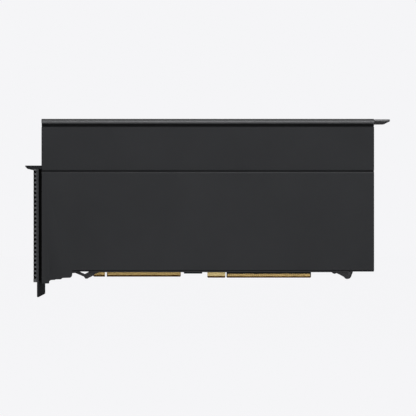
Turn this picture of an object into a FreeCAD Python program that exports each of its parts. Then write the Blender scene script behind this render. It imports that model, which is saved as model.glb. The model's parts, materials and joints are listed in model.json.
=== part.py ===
import FreeCAD, Part
import math
import os

# A full-length, two-slot, passively cooled accelerator card, all sizes in millimetres.
# Origin: centre of the key notch at the bottom edge of the 16-lane connector, in the middle of the
# board's thickness.  +X runs from the slot bracket to the far end, +Z is up, away from the slots, and
# the component side of the board faces -Y.

# ---- driving dimensions: slots and board ----
slot_pitch = 20.32            # one expansion slot to the next
component_reach = 14.47       # room on the component side of a single-slot card
solder_reach = 2.67           # room on the solder side
board_thick = 1.57
board_left_gap = 0.4          # board edge to the bracket frame
board_right_gap = 0.5         # board edge to the end frame
board_low_edge = 4.4          # board edge between the connectors
board_raised_edge = 9.0       # board edge left of the connectors and right of the foot
board_top_gap = 1.8           # board to the top rail's back lip
board_strip_start = 2.35      # how far the low edge reaches left of the 16-lane tongue
board_strip_end = 11.2        # where the low edge ends, from the board's right edge

# ---- driving dimensions: edge connectors ----
key_width = 1.9
key_height = 7.5
x16_short_length = 11.2
x16_long_length = 71.65
x16_bottom = 0.0
blank_tab_gap = 3.1
blank_tab_length = 17.7
blank_tab_bottom = 3.0
aux_gap = 5.0                 # blank tab to the second connector
aux_short_length = 17.3
aux_key_width = 1.3
aux_long_length = 81.8
aux_bottom = -1.0
edge_bevel_height = 1.3
edge_bevel_depth = 0.4
tongue_corner = 0.6
contact_pitch = 1.0
contact_width = 0.7
contact_thick = 0.12
contact_top = 5.6             # top of the 16-lane contacts
aux_short_top = 5.6
aux_long_top = 2.95
aux_pitch = 2.0               # wide supply contacts of the long section
aux_width = 1.6

# ---- driving dimensions: casing ----
body_left = -56.7
body_length = 311.0
body_bottom = 7.0
body_top = 150.05
sheet = 1.5                   # covers and back plate
bottom_fold_radius = 1.8
top_fold_radius = 2.2         # fold of the upper cover under the bead
cover_edge_radius = 0.7
seam_low = 100.1              # top edge of the front cover
seam_gap = 1.9                # groove between the two covers
seam_bevel = 0.75             # on the front cover's top edge
seam_ease = 0.2               # on the upper cover's lower edge
floor_end_gap = 3.2           # end of the front cover's floor to the board's face
skirt_bottom = -4.0           # lowest level of the skirt
skirt_run = [7.0, 7.3, 8.9, 12.5, 13.2, 18.2, 19.6, 26.9, 27.9, 28.6, 28.8]     # steps along the skirt,
                                                # from the casing's left end
skirt_rise = [0.0, 2.2, 3.2, 3.35, 3.8, 3.9, 5.1, 5.4, 6.1, 7.6, 9.4]   # step heights over its bottom
block_setback = 5.5           # corner block's steps behind those of the skirt, along the card
block_inset = 0.6             # and above them
groove_height = 1.8           # dark groove between the bead and the upper cover

# ---- driving dimensions: top rail ----
bead_height = 4.9
rail_thick = 3.0
rail_lip_setback = 5.0        # front lip behind the casing's front face
rail_lip_thick = 1.5
rail_lip_depth = 8.3
rail_back_lip_thick = 3.0
rail_back_lip_depth = 7.0
tongue_reach = 15.2
tongue_thick = 1.7
tongue_drop = 0.65
tongue_round = 3.0
tongue_relief_width = 0.8     # slot between the bead's end and the tongue
tongue_relief_depth = 1.6

# ---- driving dimensions: frames and seam rail ----
frame_thick = 3.0
end_frame_inset = 1.0
frame_bar = 4.0
upper_bar = 8.0
vent_slot_width = 4.0
vent_slot_pitch = 7.0
vent_slot_height = 26.0
seam_rail_height = 12.0
seam_rail_thick = 1.5

# ---- driving dimensions: slot bracket and vent grille ----
bracket_gap = 2.65            # seal between the bracket and the casing
bracket_thick = 1.45
bracket_low = -16.8
bracket_corner = 1.0
tab_low = 103.05
tab_thick = 3.2
tab_reach = 10.95             # tab past the bracket's outer face
tab_chamfer = 2.1
notch_width = 4.42
notch_depth = 6.0
grille_stand = 3.4
grille_low = -2.85
grille_sheet = 1.0
grille_edge = 0.6             # slanted upright edges of the tray
hole_pitch = 3.94
hole_flats = 2.6
hole_low_margin = 4.55        # middle of the lowest holes over the tray's lower end
hole_high_margin = 2.6        # room for the middle of the highest holes under the tab
hole_stretch = 0.7            # added to each half of a hexagonal hole's width
hole_columns = 8              # column steps from the front corner to the plain back corner
bracket_window_bar = 4.5
seal_inset = 1.4
seal_bar = 4.0
boss_half = 3.2               # square bosses round the bracket screws
bracket_screw_low = 3.9       # lower screw under the casing floor's top
bracket_screw_high = 5.4      # upper screw under the tab

# ---- driving dimensions: cooling ----
base_rise = 6.2               # underside of the heat sink base over the board
base_thick = 4.5
base_left_gap = 6.4           # base to the bracket frame
base_right_gap = 7.9          # base to the end frame
base_low_gap = 3.5            # base over the casing's floor
base_high_gap = 3.0           # base under the top rail's lip
fin_end_inset = 2.0           # fins inside the base's ends
fin_side_inset = 1.0
fin_pitch = 2.42
fin_thick = 0.5
fin_web = 0.6
fin_tip_gap = 0.3
pipe_count = 5
pipe_width = 8.0
pipe_thick = 3.0
pipe_pitch = 11.0
pipe_left_inset = 0.5
pipe_right_reach = 3.0        # pipe tips past the base

# ---- driving dimensions: processor and power parts ----
chip_from_left = 151.4        # processor's middle from the casing's bracket end
package_margin = 0.5          # memory stacks to the stiffener
stiffener_bar = 3.0
stiffener_thick = 0.6
substrate_thick = 1.2
die_width = 26.0
die_height = 28.0
die_thick = 0.8
memory_width = 8.0
memory_height = 12.0
memory_gap = 1.0
inductor_side = 7.0
inductor_height = 4.0
inductor_rows = 6
inductor_pitch = 9.5
stage_width = 5.0
stage_height = 6.0
stage_thick = 0.9
package_to_stage = 6.0
stage_to_inductor = 4.0
inductor_to_capacitor = 3.35
pad_thick = 0.8
capacitor_width = 4.3
capacitor_height = 7.3
capacitor_thick = 2.8
capacitor_count = 4
capacitor_pitch = 13.0
controller_side = 9.0
controller_thick = 1.0
controller_from_ends = (33.0, 59.4)       # from the board's left and right edges
controller_from_base = (28.0, 65.0)       # over the base's lower edge
back_pad_side = 46.0

# ---- driving dimensions: fasteners ----
screw_radius = 1.6            # plain flush screws, head and shank in one
screw_clearance = 0.15
standoff_flats = 5.0
standoff_left_inset = 9.0     # outer standoffs inside the base's edges
standoff_right_inset = 10.0
standoff_low_inset = 10.0
standoff_high_inset = 7.0
cooler_inset = 3.5            # four standoffs round the processor, past the package's side
cooler_rise = 5.0             # and past the ribs over the power stages
plate_rib_height = 8.0        # pressed ribs of the back plate, which the board rests on
rail_screw_count = 3
cover_screw_count = 3
cover_screw_margin = 35.0
foot_height = 3.5             # cast feet of the base, which the cover screws enter

# ---- driving dimensions: finger guard and rear foot ----
guard_thick = 2.5
guard_gap = 0.3               # guard to the board's face
guard_shape = [(-27.85, 8.9), (-21.35, 3.5), (-17.15, 3.75), (-15.75, 3.2), (-8.95, 0.35), (-8.05, -0.7),
               (-7.45, -1.7), (-5.35, -1.75), (-3.85, -0.8), (-1.65, 0.15), (0.05, 1.2), (1.25, 2.25),
               (2.75, 3.2), (5.85, 4.5)]     # lower line, x from the 16-lane tongue's left end
guard_hole = [(-8.05, 2.8), (-5.15, 4.2), (-3.85, 5.3), (-1.45, 8.6), (-16.85, 8.6), (-13.15, 5.3),
              (-11.55, 4.2)]
guard_top = 14.5
guard_plate_end = 8.65        # right end of the guard's upper part
guard_bar_top = 8.2           # bar from the guard to the foot, over the contacts
guard_bosses = [(-22.85, 11.6), (4.65, 11.6)]
bar_bosses = [(109.0, 11.6), (222.0, 11.6)]
bar_ear_half = 3.2
moulding_pad_half = 2.4
foot_bump = [(-20.4, 4.6), (-19.3, 3.8), (-18.2, 3.05), (-17.2, 2.9), (-16.3, 3.2),
             (-15.5, 3.5)]    # x from the low edge's right end
foot_slope = [(-14.6, 3.2), (-12.6, 2.3), (-9.7, 0.65), (-8.5, 0.1), (-7.5, -0.8), (-6.7, -1.8),
              (-4.8, -2.1), (-3.0, -1.7), (-1.65, -0.6), (-0.75, 1.8), (0.35, 4.6)]
foot_top = 14.5
foot_bosses = [(-10.0, 11.6)]
foot_pin_back = 3.5           # pin's axis from the low edge's right end
foot_pin_z = 3.6
foot_pin_radius = 1.7
foot_pin_proud = 0.8

# ---- places worked out from the driving dimensions ----
board_face = -board_thick / 2
board_back = board_thick / 2
front_y = board_face - component_reach - slot_pitch
back_y = board_back + solder_reach
middle_y = (front_y + back_y) / 2
cover_inner = front_y + sheet
plate_inner = back_y - sheet
body_right = body_left + body_length
rail_under = body_top - rail_thick
lip_low = rail_under - rail_lip_depth
back_lip_low = rail_under - rail_back_lip_depth
floor_top = body_bottom + sheet
floor_end = board_face - floor_end_gap
seam_high = seam_low + seam_gap
seam_middle = (seam_low + seam_high) / 2
seam_rail_low = seam_middle - seam_rail_height / 2
seam_rail_high = seam_rail_low + seam_rail_height
upper_top = body_top - bead_height - groove_height
flange_low = upper_top - sheet
lip_front = front_y + rail_lip_setback
lip_inner = lip_front + rail_lip_thick
left_frame_inner = body_left + frame_thick
end_frame_outer = body_right - end_frame_inset
end_frame_inner = end_frame_outer - frame_thick

x16_left = -key_width / 2 - x16_short_length
x16_right = key_width / 2 + x16_long_length
blank_tab_left = x16_right + blank_tab_gap
blank_tab_right = blank_tab_left + blank_tab_length
aux_short_left = blank_tab_right + aux_gap
aux_short_right = aux_short_left + aux_short_length
aux_long_left = aux_short_right + aux_key_width
aux_long_right = aux_long_left + aux_long_length
board_left = left_frame_inner + board_left_gap
board_right = end_frame_inner - board_right_gap
board_top = back_lip_low - board_top_gap
board_strip_left = x16_left - board_strip_start
board_strip_right = board_right - board_strip_end

bracket_inner = body_left - bracket_gap
bracket_outer = bracket_inner - bracket_thick
grille_outer = bracket_outer - grille_stand
tab_tip = bracket_outer - tab_reach
tab_top = tab_low + tab_thick

base_under = board_face - base_rise
base_upper = base_under - base_thick
base_left = left_frame_inner + base_left_gap
base_right = end_frame_inner - base_right_gap
base_low = floor_top + base_low_gap
base_high = lip_low - base_high_gap
fin_left = base_left + fin_end_inset
fin_right = base_right - fin_end_inset
fin_low = base_low + fin_side_inset
fin_high = base_high - fin_side_inset
pipe_left = base_left + pipe_left_inset
pipe_right = base_right + pipe_right_reach

chip_x = body_left + chip_from_left
chip_z = (base_low + base_high) / 2
package_side = die_width + 2 * (memory_gap + memory_width + package_margin + stiffener_bar)
stage_offset = package_side / 2 + package_to_stage + stage_width / 2
inductor_offset = stage_offset + stage_width / 2 + stage_to_inductor + inductor_side / 2
capacitor_offset = inductor_offset + inductor_side / 2 + inductor_to_capacitor + capacitor_width / 2
cooler_spread_x = package_side / 2 + cooler_inset
cooler_spread_z = inductor_rows * inductor_pitch / 2 + cooler_rise
standoff_columns = [base_left + standoff_left_inset, base_right - standoff_right_inset]
standoff_rows = [base_low + standoff_low_inset, base_high - standoff_high_inset]
guard_outline = [(x16_left + x, z) for x, z in guard_shape]
guard_window = [(x16_left + x, z) for x, z in guard_hole]
guard_boss_places = [(x16_left + x, z) for x, z in guard_bosses]
bar_boss_places = [(x16_left + x, z) for x, z in bar_bosses]
foot_boss_places = [(board_strip_right + x, z) for x, z in foot_bosses]
foot_pin_x = board_strip_right - foot_pin_back
screw_bore = screw_radius + screw_clearance


def box(x0, x1, y0, y1, z0, z1):
    return Part.makeBox(x1 - x0, y1 - y0, z1 - z0, FreeCAD.Vector(x0, y0, z0))


def polygon_prism(points, travel):
    """A flat outline of 3-D points, carried along a straight travel."""
    corners = [FreeCAD.Vector(*p) for p in points]
    return Part.Face(Part.makePolygon(corners + corners[:1])).extrude(FreeCAD.Vector(*travel))


def prism_xz(points, y0, y1):
    return polygon_prism([(x, y0, z) for x, z in points], (0, y1 - y0, 0))


def prism_yz(points, x0, x1):
    return polygon_prism([(x0, y, z) for y, z in points], (x1 - x0, 0, 0))


def cylinder(radius, start, travel):
    direction = FreeCAD.Vector(*travel)
    return Part.makeCylinder(radius, direction.Length, FreeCAD.Vector(*start), direction)


def rod_y(radius, x, z, y0, y1):
    return cylinder(radius, (x, y0, z), (0, y1 - y0, 0))


def centred_steps(count, pitch):
    return [(i - (count - 1) / 2) * pitch for i in range(count)]


def edges_where(shape, test):
    return [e for e in shape.Edges if test(e)]


def runs_along_z(edge, shortest):
    ends = [v.Point for v in edge.Vertexes]
    return len(ends) == 2 and abs(ends[0].z - ends[1].z) > shortest and abs(ends[0].x - ends[1].x) < 1e-6


# ---- casing ----
def front_cover():
    """One folded sheet: front face, rounded bottom fold, floor, and the skirt at the bracket end."""
    skirt_end = body_left + skirt_run[-1]
    r_out = bottom_fold_radius
    fold_y = front_y + r_out
    fold_z = body_bottom + r_out
    turn = math.sqrt(0.5)
    r_in = r_out - sheet

    def at(y, z):
        return FreeCAD.Vector(skirt_end, y, z)
    path = [
        Part.LineSegment(at(front_y, seam_low), at(front_y, fold_z)),
        Part.Arc(at(front_y, fold_z), at(fold_y - r_out * turn, fold_z - r_out * turn),
                 at(fold_y, body_bottom)),
        Part.LineSegment(at(fold_y, body_bottom), at(floor_end, body_bottom)),
        Part.LineSegment(at(floor_end, body_bottom), at(floor_end, floor_top)),
        Part.LineSegment(at(floor_end, floor_top), at(fold_y, floor_top)),
        Part.Arc(at(fold_y, floor_top), at(fold_y - r_in * turn, fold_z - r_in * turn),
                 at(cover_inner, fold_z)),
        Part.LineSegment(at(cover_inner, fold_z), at(cover_inner, seam_low)),
        Part.LineSegment(at(cover_inner, seam_low), at(front_y, seam_low)),
    ]
    profile = Part.Face(Part.Wire([segment.toShape() for segment in path]))
    cover = profile.extrude(FreeCAD.Vector(body_right - skirt_end, 0, 0))
    steps = [(body_left + run, skirt_bottom + rise) for run, rise in zip(skirt_run, skirt_rise)]
    outline = [(body_left, seam_low), (body_left, skirt_bottom)] + steps
    outline += [(skirt_end, seam_low)]
    cover = cover.fuse(prism_xz(outline, front_y, cover_inner)).removeSplitter()
    cover = cover.cut(seam_bevel_cut(seam_low, -seam_bevel))
    for x in cover_screw_xs():
        cover = cover.cut(cylinder(screw_bore, (x, base_middle(), body_bottom), (0, 0, sheet)))
    return round_cover_ends(cover)


def upper_cover():
    """The sheet over the seam; its top edge is folded back under the bead, to the rail's front lip."""
    outer = box(body_left, body_right, front_y, lip_front, seam_high, upper_top)
    inner = box(body_left, body_right, cover_inner, lip_front, seam_high, flange_low)
    outer = outer.makeFillet(top_fold_radius, long_edges_at(outer, front_y, upper_top))
    inner = inner.makeFillet(top_fold_radius - sheet, long_edges_at(inner, cover_inner, flange_low))
    cover = outer.cut(inner)
    cover = cover.cut(seam_bevel_cut(seam_high, seam_ease))
    return round_cover_ends(cover)


def long_edges_at(shape, y, z):
    return edges_where(shape, lambda e: all(
        abs(v.Point.y - y) < 1e-6 and abs(v.Point.z - z) < 1e-6 for v in e.Vertexes))


def seam_bevel_cut(z, size):
    """The bevel that the front edge of a cover has at the seam; size is positive when the cover is above."""
    triangle = [(front_y, z), (front_y, z + size), (front_y + abs(size), z)]
    return prism_yz(triangle, body_left, body_right)


def round_cover_ends(cover):
    """The upright front edges at the two ends of a cover are eased."""
    def at_end(edge):
        if not runs_along_z(edge, sheet * 4):
            return False
        p = edge.Vertexes[0].Point
        return abs(p.y - front_y) < 1e-6 and min(abs(p.x - body_left), abs(p.x - body_right)) < 1e-6
    return cover.makeFillet(min(cover_edge_radius, sheet * 0.6), edges_where(cover, at_end))


def back_plate():
    """The sheet over the solder side, with long ribs pressed into it that the board rests on."""
    plate = box(body_left, body_right, plate_inner, back_y, body_bottom, rail_under)
    half = plate_rib_height / 2
    for z in standoff_rows:
        plate = plate.fuse(box(board_left, board_right, board_back, plate_inner, z - half, z + half))
    for dz in (-cooler_spread_z, cooler_spread_z):
        z = chip_z + dz
        reach = cooler_spread_x + plate_rib_height
        plate = plate.fuse(box(chip_x - reach, chip_x + reach, board_back, plate_inner, z - half, z + half))
    for x, z in standoff_places():
        plate = plate.cut(rod_y(screw_bore, x, z, board_back, back_y))
    for x in rail_screw_xs():
        plate = plate.cut(rod_y(screw_bore, x, rail_screw_z(), plate_inner, back_y))
    return plate.removeSplitter()


def top_rail():
    """Extruded rail: top plate, round bead along the front, two lips, and the tongue at the far end."""
    radius = bead_height / 2
    bead_z = body_top - radius
    rail = box(body_left, body_right, front_y + radius, back_y, rail_under, body_top)
    bead = cylinder(radius, (body_left, front_y + radius, bead_z), (body_length, 0, 0))
    lip = box(body_left, body_right, lip_front, lip_inner, lip_low, rail_under)
    back_lip = box(left_frame_inner, end_frame_inner, plate_inner - rail_back_lip_thick, plate_inner,
                   back_lip_low, rail_under)
    for x in rail_screw_xs():
        back_lip = back_lip.cut(rod_y(screw_bore, x, rail_screw_z(), plate_inner - rail_back_lip_thick,
                                      plate_inner))
    tongue = box(body_right, body_right + tongue_reach, front_y, back_y,
                 body_top - tongue_drop - tongue_thick, body_top - tongue_drop)
    tip = body_right + tongue_reach
    relief = box(body_right, body_right + tongue_relief_width, front_y, front_y + tongue_relief_depth,
                 rail_under, body_top)
    tongue = tongue.makeFillet(tongue_round, edges_where(
        tongue, lambda e: runs_along_z(e, tongue_thick / 2) and abs(e.Vertexes[0].Point.x - tip) < 1e-6))
    return rail.fuse([bead, lip, back_lip, tongue.cut(relief)]).removeSplitter()


def frame_outline(low):
    """Section of the casing's inside, which both frames fill, notched for the rail's front lip."""
    return [(cover_inner, low), (plate_inner, low), (plate_inner, rail_under), (lip_inner, rail_under),
            (lip_inner, lip_low), (lip_front, lip_low), (lip_front, flange_low), (cover_inner, flange_low)]


def frame_reliefs(x0, x1):
    """Room in a frame for the insides of the two folds and for the strip behind the seam."""
    low_fold = bottom_fold_radius - sheet
    high_fold = top_fold_radius - sheet
    return [box(x0, x1, cover_inner, cover_inner + low_fold, floor_top, floor_top + low_fold),
            box(x0, x1, cover_inner, cover_inner + high_fold, flange_low - high_fold, flange_low),
            box(x0, x1, cover_inner, cover_inner + seam_rail_thick, seam_rail_low, seam_rail_high)]


def end_frame():
    """Open frame at the far end; the fins show through it."""
    frame = prism_yz(frame_outline(floor_top), end_frame_inner, end_frame_outer)
    frame = frame.cut(frame_reliefs(end_frame_inner, end_frame_outer))
    window = box(end_frame_inner, end_frame_outer, cover_inner + frame_bar, board_face - frame_bar / 2,
                 floor_top + frame_bar, lip_low - frame_bar / 2)
    return frame.cut(window)


def bracket_frame():
    """Frame at the bracket end: a window behind the grille and a row of air slots over the tab."""
    frame = prism_yz(frame_outline(floor_top), body_left, left_frame_inner)
    frame = frame.cut(frame_reliefs(body_left, left_frame_inner))
    window = box(body_left, left_frame_inner, cover_inner + frame_bar, board_face - frame_bar / 2,
                 floor_top + frame_bar, tab_low - upper_bar)
    frame = frame.cut(window)
    slot_low = tab_top + frame_bar / 2
    for offset in centred_steps(4, vent_slot_pitch):
        y = middle_y + offset
        slot = box(body_left, left_frame_inner, y - vent_slot_width / 2, y + vent_slot_width / 2,
                   slot_low, slot_low + vent_slot_height)
        frame = frame.cut(slot)
    return frame.cut(bracket_screw_holes(body_left, left_frame_inner))


def corner_block():
    """Moulded block behind the skirt; it closes the lower corner at the bracket end."""
    steps = []
    for run, rise in zip(skirt_run, skirt_rise):
        level = min(skirt_bottom + rise + block_inset, body_bottom)
        steps.append((body_left + run - block_setback, level))
    outline = [(body_left, floor_top), (body_left, skirt_bottom + block_inset)] + steps
    outline += [(body_left + skirt_run[-1] - block_setback, floor_top)]
    block = prism_xz(outline, cover_inner, floor_end)
    return block.cut(bracket_screw_holes(body_left, left_frame_inner))


def seam_rail():
    """Dark strip behind the seam, on which both covers seat; it lies in notches of the two frames."""
    return box(body_left, body_right, cover_inner, cover_inner + seam_rail_thick,
               seam_rail_low, seam_rail_high)


# ---- bracket ----
def bracket_screw_places():
    return [(middle_y, floor_top - bracket_screw_low), (middle_y, tab_low - bracket_screw_high)]


def bracket_bosses(x0, x1):
    """Square bosses round the bracket screws, which link the tray, the bracket and the seal."""
    return [box(x0, x1, y - boss_half, y + boss_half, z - boss_half, z + boss_half)
            for y, z in bracket_screw_places()]


def bracket_screw_holes(x0, x1):
    return [cylinder(screw_bore, (x0, y, z), (x1 - x0, 0, 0)) for y, z in bracket_screw_places()]


def slot_bracket():
    """Bracket: upright plate with a window, long tongue below, and the thick tab with its notches."""
    plate = box(bracket_outer, bracket_inner, front_y, back_y, bracket_low, tab_low)
    bar = bracket_window_bar
    plate = plate.cut(box(bracket_outer, bracket_inner, front_y + bar, back_y - bar,
                          grille_low + bar, tab_low - bar))
    tab = prism_xz([(tab_tip, tab_low + tab_chamfer), (tab_tip, tab_top), (body_left, tab_top),
                    (body_left, tab_low), (tab_tip + tab_chamfer, tab_low)], front_y, back_y)
    for offset in centred_steps(2, slot_pitch):
        y = middle_y + offset
        half = notch_width / 2
        notch = box(tab_tip, tab_tip + notch_depth - half, y - half, y + half, tab_low, tab_top)
        notch = notch.fuse(cylinder(half, (tab_tip + notch_depth - half, y, tab_low), (0, 0, tab_thick)))
        tab = tab.cut(notch)
    bracket = plate.fuse([tab] + bracket_bosses(bracket_outer, bracket_inner))
    bracket = bracket.cut(bracket_screw_holes(bracket_outer, bracket_inner))
    low_edges = edges_where(bracket, lambda e: all(
        abs(v.Point.z - bracket_low) < 1e-6 for v in e.Vertexes) and abs(
        e.Vertexes[0].Point.y - e.Vertexes[-1].Point.y) < 1e-6)
    return bracket.makeChamfer(bracket_corner, low_edges).removeSplitter()


def hexagon_prism(centre, axis, side, length, flats, stretch=0.0):
    """Hexagonal prism with flats up and down; stretch widens each half of it along side."""
    way = FreeCAD.Vector(*axis).normalize()
    across = FreeCAD.Vector(*side).normalize()
    reach = flats / math.sqrt(3)
    points = []
    for i in range(6):
        angle = math.radians(60 * i)
        out = reach * math.cos(angle) + math.copysign(stretch, math.cos(angle))
        points.append(FreeCAD.Vector(*centre) + across * out + FreeCAD.Vector(0, 0, reach * math.sin(angle)))
    return Part.Face(Part.makePolygon(points + points[:1])).extrude(way * length)


def grille_holes():
    """Honeycomb of holes: staggered columns over the face, and one column round the front corner."""
    column_step = (back_y - front_y) / hole_columns
    first = grille_low + hole_low_margin
    rows = int((tab_low - hole_high_margin - first) / hole_pitch) + 1
    start = grille_outer - grille_sheet
    corner_depth = 2 * (hole_flats + grille_sheet)
    holes = []
    for column in range(hole_columns):
        y = front_y + column * column_step
        shift = hole_pitch / 2 if column % 2 else 0
        for row in range(rows - column % 2):
            z = first + shift + row * hole_pitch
            if column == 0:
                holes.append(hexagon_prism((start, y - grille_sheet, z), (1, 1, 0), (1, -1, 0), corner_depth,
                                           hole_flats, hole_stretch))
            elif clear_of_bosses(y, z):
                holes.append(hexagon_prism((start, y, z), (1, 0, 0), (0, 1, 0), grille_sheet * 3,
                                           hole_flats, hole_stretch))
    return holes


def clear_of_bosses(y, z):
    beside = boss_half + hole_flats / math.sqrt(3) + hole_stretch
    over = boss_half + hole_flats / 2
    return all(abs(y - sy) > beside or abs(z - sz) > over for sy, sz in bracket_screw_places())


def vent_grille():
    """Shallow perforated tray that stands proud of the bracket."""
    tray = box(grille_outer, bracket_outer, front_y, back_y, grille_low, tab_low)
    tray = tray.makeChamfer(grille_edge, edges_where(
        tray, lambda e: runs_along_z(e, 1) and abs(e.Vertexes[0].Point.x - grille_outer) < 1e-6))
    wall = grille_sheet
    tray = tray.cut(box(grille_outer + wall, bracket_outer, front_y + wall, back_y - wall,
                        grille_low + wall, tab_low - wall))
    tray = tray.fuse(bracket_bosses(grille_outer + wall, bracket_outer))
    return tray.cut(Part.makeCompound(grille_holes() + bracket_screw_holes(grille_outer, bracket_outer)))


def bracket_seal():
    """Soft black ring that fills the recess between the bracket and the casing."""
    y0 = front_y + seal_inset
    y1 = back_y - seal_inset
    z0 = grille_low + seal_inset
    ring = box(bracket_inner, body_left, y0, y1, z0, tab_low)
    ring = ring.cut(box(bracket_inner, body_left, y0 + seal_bar, y1 - seal_bar, z0 + seal_bar,
                        tab_low - seal_bar))
    ring = ring.fuse(bracket_bosses(bracket_inner, body_left))
    return ring.cut(bracket_screw_holes(bracket_inner, body_left)).removeSplitter()


def bracket_screws():
    return [cylinder(screw_radius, (grille_outer, y, z), (left_frame_inner - grille_outer, 0, 0))
            for y, z in bracket_screw_places()]


# ---- board ----
def standoff_places():
    places = [(x, z) for x in standoff_columns for z in standoff_rows]
    places += [(chip_x + dx, chip_z + dz) for dx in (-cooler_spread_x, cooler_spread_x)
               for dz in (-cooler_spread_z, cooler_spread_z)]
    return places


def tongue_outline(left, right, bottom, left_top, right_top):
    """A connector tongue with its two lower corners cut off."""
    return [(left, left_top), (left, bottom + tongue_corner), (left + tongue_corner, bottom),
            (right - tongue_corner, bottom), (right, bottom + tongue_corner), (right, right_top)]


def bevel_cuts(left, right, bottom):
    """The slanted faces along the lower edge of a tongue, on both sides of the board."""
    cuts = []
    for face, inward in ((board_face, 1), (board_back, -1)):
        triangle = [(face, bottom), (face, bottom + edge_bevel_height),
                    (face + inward * edge_bevel_depth, bottom)]
        cuts.append(prism_yz(triangle, left, right))
    return cuts


def circuit_board():
    """The board with its connector tongues, key notch and screw holes, all one piece."""
    outline = [(board_left, board_top), (board_left, board_raised_edge),
               (board_strip_left, board_raised_edge), (board_strip_left, board_low_edge)]
    outline += tongue_outline(x16_left, x16_right, x16_bottom, board_low_edge, board_low_edge)
    outline += [(blank_tab_left, board_low_edge), (blank_tab_left, blank_tab_bottom),
                (blank_tab_right, blank_tab_bottom), (blank_tab_right, board_low_edge)]
    outline += tongue_outline(aux_short_left, aux_short_right, aux_bottom, board_low_edge, board_raised_edge)
    outline += tongue_outline(aux_long_left, aux_long_right, aux_bottom, board_raised_edge, board_low_edge)
    outline += [(board_strip_right, board_low_edge), (board_strip_right, board_raised_edge),
                (board_right, board_raised_edge), (board_right, board_top)]
    board = prism_xz(outline, board_face, board_back)
    key = box(-key_width / 2, key_width / 2, board_face, board_back, x16_bottom, key_height - key_width / 2)
    key = key.fuse(rod_y(key_width / 2, 0, key_height - key_width / 2, board_face, board_back))
    board = board.cut(key)
    tongues = [(x16_left, x16_right, x16_bottom), (aux_short_left, aux_short_right, aux_bottom),
               (aux_long_left, aux_long_right, aux_bottom)]
    cuts = [cut for tongue in tongues for cut in bevel_cuts(*tongue)]
    for x, z in standoff_places() + guard_and_foot_places():
        cuts.append(rod_y(screw_bore, x, z, board_face, board_back))
    return board.cut(Part.makeCompound(cuts)).removeSplitter()


def contact_row(left, right, pitch, width, low, high):
    """Contacts on both faces of a tongue, as many as fit between left and right."""
    count = int((right - left) / pitch + 1e-6)
    middle = (left + right) / 2
    pads = []
    for offset in centred_steps(count, pitch):
        x = middle + offset
        pads.append(box(x - width / 2, x + width / 2, board_face - contact_thick, board_face, low, high))
        pads.append(box(x - width / 2, x + width / 2, board_back, board_back + contact_thick, low, high))
    return pads


def x16_contacts():
    low = x16_bottom + edge_bevel_height
    left_row = contact_row(x16_left, -key_width / 2, contact_pitch, contact_width, low, contact_top)
    return left_row + contact_row(key_width / 2, x16_right, contact_pitch, contact_width, low, contact_top)


def aux_short_contacts():
    low = aux_bottom + edge_bevel_height
    return contact_row(aux_short_left, aux_short_right, contact_pitch, contact_width, low, aux_short_top)


def aux_long_contacts():
    low = aux_bottom + edge_bevel_height
    return contact_row(aux_long_left, aux_long_right, aux_pitch, aux_width, low, aux_long_top)


# ---- finger guard and rear foot ----
def guard_and_foot_places():
    return guard_boss_places + bar_boss_places + foot_boss_places


def carried_on_board(shape, places):
    """Square pads bring a moulding to rest on the board; each has a screw hole."""
    front = board_face - guard_gap - guard_thick
    half = moulding_pad_half
    for x, z in places:
        pad = box(x - half, x + half, board_face - guard_gap, board_face, z - half, z + half)
        shape = shape.fuse(pad)
    for x, z in places:
        shape = shape.cut(rod_y(screw_bore, x, z, front, board_face))
    return shape.removeSplitter()


def finger_guard():
    """V-shaped moulding beside the contacts, and its bar over them, which ends at the foot."""
    back = board_face - guard_gap
    front = back - guard_thick
    plate_right = x16_left + guard_plate_end
    outline = guard_outline + [(plate_right, guard_outline[-1][1]), (plate_right, guard_top),
                               (guard_outline[0][0], guard_top)]
    guard = prism_xz(outline, front, back).cut(prism_xz(guard_window, front, back))
    bar_right = board_strip_right + foot_bump[0][0] - guard_gap
    parts = [box(plate_right, bar_right, front, back, guard_outline[-1][1], guard_bar_top)]
    for x, z in bar_boss_places:
        parts.append(box(x - bar_ear_half, x + bar_ear_half, front, back, guard_bar_top, guard_top))
    return carried_on_board(guard.fuse(parts), guard_boss_places + bar_boss_places)


def rear_foot():
    """Wedge-shaped guide foot with a bore for its pin."""
    back = board_face - guard_gap
    low_line = foot_bump + foot_slope
    outline = [(low_line[0][0], foot_top)] + low_line + [(low_line[-1][0], foot_top)]
    outline = [(board_strip_right + x, z) for x, z in outline]
    foot = prism_xz(outline, back - guard_thick, back)
    foot = foot.cut(rod_y(foot_pin_radius, foot_pin_x, foot_pin_z, back - guard_thick, back))
    return carried_on_board(foot, foot_boss_places)


def foot_pin():
    back = board_face - guard_gap
    return rod_y(foot_pin_radius, foot_pin_x, foot_pin_z, back - guard_thick - foot_pin_proud, back)


def guard_screws():
    """Screws of the guard, its bar and the foot, flush in front and at the board's back."""
    front = board_face - guard_gap - guard_thick
    return [rod_y(screw_radius, x, z, front, board_back) for x, z in guard_and_foot_places()]


# ---- cooling ----
def base_middle():
    return (base_under + base_upper) / 2


def cover_screw_xs():
    step = (base_right - base_left - 2 * cover_screw_margin) / (cover_screw_count - 1)
    return [base_left + cover_screw_margin + step * i for i in range(cover_screw_count)]


def rail_screw_xs():
    return [body_left + body_length * (i + 0.5) / rail_screw_count for i in range(rail_screw_count)]


def rail_screw_z():
    return rail_under - rail_back_lip_depth / 2


def die_face():
    return board_face - substrate_thick - die_thick


def stage_places():
    return [(chip_x + side * stage_offset, chip_z + dz) for side in (-1, 1)
            for dz in centred_steps(inductor_rows, inductor_pitch)]


def pipe_zs():
    return [chip_z + offset for offset in centred_steps(pipe_count, pipe_pitch)]


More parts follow.
